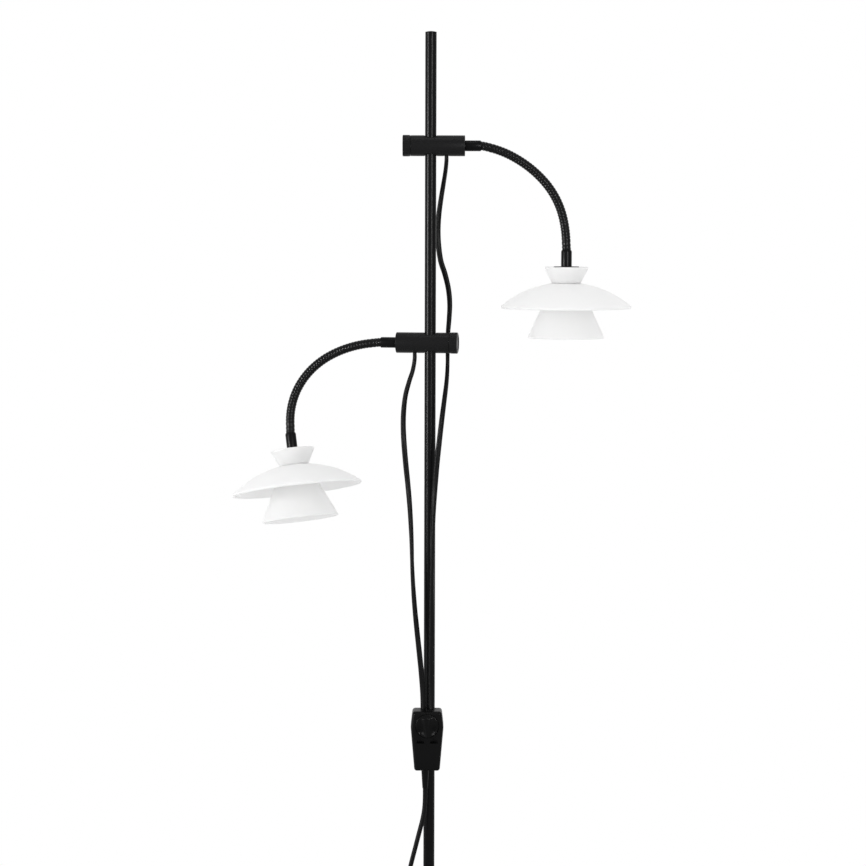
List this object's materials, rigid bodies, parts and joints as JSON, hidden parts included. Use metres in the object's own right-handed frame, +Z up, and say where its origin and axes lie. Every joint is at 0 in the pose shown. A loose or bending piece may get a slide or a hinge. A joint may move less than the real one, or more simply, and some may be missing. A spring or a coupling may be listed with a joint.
{
  "type": "two-arm floor lamp",
  "caption": "Free-standing pole floor lamp on a round base, with sliding swivel clamps, bending ribbed necks, three-part opal glass shades, an inline dimmer and a mains lead.",
  "frame": {"origin": "where the pole's axis meets the floor, at the middle of the base's underside", "axes": "+Z up along the pole, the front of the lamp faces -Y, the upper neck leaves its clamp toward +X and the lower one toward -X"},
  "size_m": [0.4247, 0.24, 1.4455],
  "materials": {
    "black_paint": "satin black powder paint",
    "black_plastic": "fine-grained black moulding",
    "grey_nylon": "plain nylon",
    "felt": "dense grey felt",
    "zinc_steel": "zinc-plated",
    "pin_metal": "plated contact pins",
    "board": "laminate board",
    "cable": "smooth black cable sheath",
    "opal_glass": "satin opal white glass",
    "bulb_glass": "frosted capsule"
  },
  "bodies": {
    "stand": {"base_plate": "black_paint", "base_pad": "felt", "base_bolt": "zinc_steel", "pole_lower": "black_paint", "pole_middle": "black_paint", "pole_upper": "black_paint", "pole_couplers": "black_paint", "pole_end_plug": "black_plastic", "dimmer_back": "black_plastic", "dimmer_front": "black_plastic", "dimmer_board": "board", "dimmer_screws": "zinc_steel", "mains_relief": "black_plastic", "mains_cord": "cable", "mains_coil": "cable", "mains_plug": "black_plastic", "plug_pins": "pin_metal", "upper_lamp_cord": "cable", "lower_lamp_cord": "cable"},
    "dimmer_dial": {"dimmer_dial": "black_plastic"},
    "upper_bush": {"upper_clamp_bush": "grey_nylon"},
    "upper_barrel": {"upper_clamp_barrel": "black_paint"},
    "upper_shoe": {"upper_clamp_shoe": "grey_nylon"},
    "upper_knob": {"upper_clamp_knob": "black_paint"},
    "upper_neck_root": {"upper_neck_root": "black_paint"},
    "upper_link_1": {"upper_neck_link_1": "black_paint"},
    "upper_link_2": {"upper_neck_link_2": "black_paint"},
    "upper_link_3": {"upper_neck_link_3": "black_paint"},
    "upper_link_4": {"upper_neck_link_4": "black_paint"},
    "upper_link_5": {"upper_neck_link_5": "black_paint"},
    "upper_link_6": {"upper_neck_link_6": "black_paint"},
    "upper_link_7": {"upper_neck_link_7": "black_paint"},
    "upper_head": {"upper_shade_ferrule": "black_paint", "upper_shade_cap": "black_plastic", "upper_lampholder": "black_plastic", "upper_ring_nut": "black_plastic", "upper_collar_glass": "opal_glass", "upper_dome_glass": "opal_glass", "upper_cone_glass": "opal_glass", "upper_bulb": "bulb_glass"},
    "lower_bush": {"lower_clamp_bush": "grey_nylon"},
    "lower_barrel": {"lower_clamp_barrel": "black_paint"},
    "lower_shoe": {"lower_clamp_shoe": "grey_nylon"},
    "lower_knob": {"lower_clamp_knob": "black_paint"},
    "lower_neck_root": {"lower_neck_root": "black_paint"},
    "lower_link_1": {"lower_neck_link_1": "black_paint"},
    "lower_link_2": {"lower_neck_link_2": "black_paint"},
    "lower_link_3": {"lower_neck_link_3": "black_paint"},
    "lower_link_4": {"lower_neck_link_4": "black_paint"},
    "lower_link_5": {"lower_neck_link_5": "black_paint"},
    "lower_link_6": {"lower_neck_link_6": "black_paint"},
    "lower_link_7": {"lower_neck_link_7": "black_paint"},
    "lower_head": {"lower_shade_ferrule": "black_paint", "lower_shade_cap": "black_plastic", "lower_lampholder": "black_plastic", "lower_ring_nut": "black_plastic", "lower_collar_glass": "opal_glass", "lower_dome_glass": "opal_glass", "lower_cone_glass": "opal_glass", "lower_bulb": "bulb_glass"}
  },
  "joints": [
    {"name": "dimmer_turn", "type": "hinge", "parent": "stand", "child": "dimmer_dial", "pos_m": [-0.0022, -0.0278, 0.709], "axis": [0, -1, 0], "range_deg": [-135, 135]},
    {"name": "upper_clamp_slide", "type": "slide", "parent": "stand", "child": "upper_bush", "axis": [0, 0, 1], "range_m": [-0.16, 0.015], "deforming": ["upper_lamp_cord"]},
    {"name": "upper_clamp_swivel", "type": "hinge", "parent": "upper_bush", "child": "upper_barrel", "pos_m": [0, 0, 1.3255], "axis": [0, 0, 1], "range_deg": [-90, 90]},
    {"name": "upper_shoe_travel", "type": "slide", "parent": "upper_barrel", "child": "upper_shoe", "axis": [-1, 0, 0], "range_m": [0, 0.00126]},
    {"name": "upper_knob_turn", "type": "hinge", "parent": "upper_shoe", "child": "upper_knob", "pos_m": [-0.025, 0, 1.3255], "axis": [-1, 0, 0], "range_deg": [0, 360]},
    {"name": "upper_neck_roll", "type": "hinge", "parent": "upper_barrel", "child": "upper_neck_root", "pos_m": [0.044, 0, 1.3255], "axis": [1, 0, 0], "range_deg": [-90, 90]},
    {"name": "upper_neck_bend_1", "type": "hinge", "parent": "upper_neck_root", "child": "upper_link_1", "pos_m": [0.056, 0, 1.3255], "axis": [0, 1, 0], "range_deg": [-27, 4.5]},
    {"name": "upper_neck_bend_2", "type": "hinge", "parent": "upper_link_1", "child": "upper_link_2", "pos_m": [0.07715, 0, 1.31944], "axis": [0, 1, 0], "range_deg": [-23, 4.5]},
    {"name": "upper_neck_bend_3", "type": "hinge", "parent": "upper_link_2", "child": "upper_link_3", "pos_m": [0.09657, 0, 1.30911], "axis": [0, 1, 0], "range_deg": [-21, 4.5]},
    {"name": "upper_neck_bend_4", "type": "hinge", "parent": "upper_link_3", "child": "upper_link_4", "pos_m": [0.11391, 0, 1.29556], "axis": [0, 1, 0], "range_deg": [-22, 4.5]},
    {"name": "upper_neck_bend_5", "type": "hinge", "parent": "upper_link_4", "child": "upper_link_5", "pos_m": [0.12834, 0, 1.27896], "axis": [0, 1, 0], "range_deg": [-25, 4.5]},
    {"name": "upper_neck_bend_6", "type": "hinge", "parent": "upper_link_5", "child": "upper_link_6", "pos_m": [0.13833, 0, 1.25936], "axis": [0, 1, 0], "range_deg": [-25, 4.5]},
    {"name": "upper_neck_bend_7", "type": "hinge", "parent": "upper_link_6", "child": "upper_link_7", "pos_m": [0.14328, 0, 1.23792], "axis": [0, 1, 0], "range_deg": [-21, 4.5]},
    {"name": "upper_neck_bend_8", "type": "hinge", "parent": "upper_link_7", "child": "upper_head", "pos_m": [0.14443, 0, 1.21595], "axis": [0, 1, 0], "range_deg": [-14, 4.5]},
    {"name": "lower_clamp_slide", "type": "slide", "parent": "stand", "child": "lower_bush", "axis": [0, 0, 1], "range_m": [-0.2, 0.01], "deforming": ["lower_lamp_cord"]},
    {"name": "lower_clamp_swivel", "type": "hinge", "parent": "lower_bush", "child": "lower_barrel", "pos_m": [0, 0, 1.117], "axis": [0, 0, 1], "range_deg": [-90, 90]},
    {"name": "lower_shoe_travel", "type": "slide", "parent": "lower_barrel", "child": "lower_shoe", "axis": [0.9903, -0.1392, 0], "range_m": [0, 0.00126]},
    {"name": "lower_knob_turn", "type": "hinge", "parent": "lower_shoe", "child": "lower_knob", "pos_m": [0.02476, -0.00348, 1.117], "axis": [0.9903, -0.1392, 0], "range_deg": [0, 360]},
    {"name": "lower_neck_roll", "type": "hinge", "parent": "lower_barrel", "child": "lower_neck_root", "pos_m": [-0.04357, 0.00612, 1.117], "axis": [-0.9903, 0.1392, 0], "range_deg": [-90, 90]},
    {"name": "lower_neck_bend_1", "type": "hinge", "parent": "lower_neck_root", "child": "lower_link_1", "pos_m": [-0.05545, 0.00779, 1.117], "axis": [-0.1373, -0.9767, 0.165], "range_deg": [-18.5, 3.5]},
    {"name": "lower_neck_bend_2", "type": "hinge", "parent": "lower_link_1", "child": "lower_link_2", "pos_m": [-0.07712, 0.01036, 1.11417], "axis": [-0.1373, -0.9767, 0.165], "range_deg": [-21.5, 3.5]},
    {"name": "lower_neck_bend_3", "type": "hinge", "parent": "lower_link_2", "child": "lower_link_3", "pos_m": [-0.098, 0.01216, 1.10746], "axis": [-0.1373, -0.9767, 0.165], "range_deg": [-22.5, 3.5]},
    {"name": "lower_neck_bend_4", "type": "hinge", "parent": "lower_link_3", "child": "lower_link_4", "pos_m": [-0.11721, 0.01306, 1.09678], "axis": [-0.1373, -0.9767, 0.165], "range_deg": [-25.5, 3.5]},
    {"name": "lower_neck_bend_5", "type": "hinge", "parent": "lower_link_4", "child": "lower_link_5", "pos_m": [-0.13323, 0.01276, 1.0817], "axis": [-0.1373, -0.9767, 0.165], "range_deg": [-27, 3.5]},
    {"name": "lower_neck_bend_6", "type": "hinge", "parent": "lower_link_5", "child": "lower_link_6", "pos_m": [-0.14456, 0.01118, 1.06291], "axis": [-0.1373, -0.9767, 0.165], "range_deg": [-28, 3.5]},
    {"name": "lower_neck_bend_7", "type": "hinge", "parent": "lower_link_6", "child": "lower_link_7", "pos_m": [-0.14995, 0.00836, 1.04177], "axis": [-0.1373, -0.9767, 0.165], "range_deg": [-27, 3.5]},
    {"name": "lower_neck_bend_8", "type": "hinge", "parent": "lower_link_7", "child": "lower_head", "pos_m": [-0.14932, 0.00461, 1.0201], "axis": [-0.1373, -0.9767, 0.165], "range_deg": [-16.5, 3.5]}
  ],
  "couplings": [
    {"joint": "upper_knob_turn", "follows": "upper_shoe_travel", "rad_per_m": 5000},
    {"joint": "lower_knob_turn", "follows": "lower_shoe_travel", "rad_per_m": 5000}
  ]
}
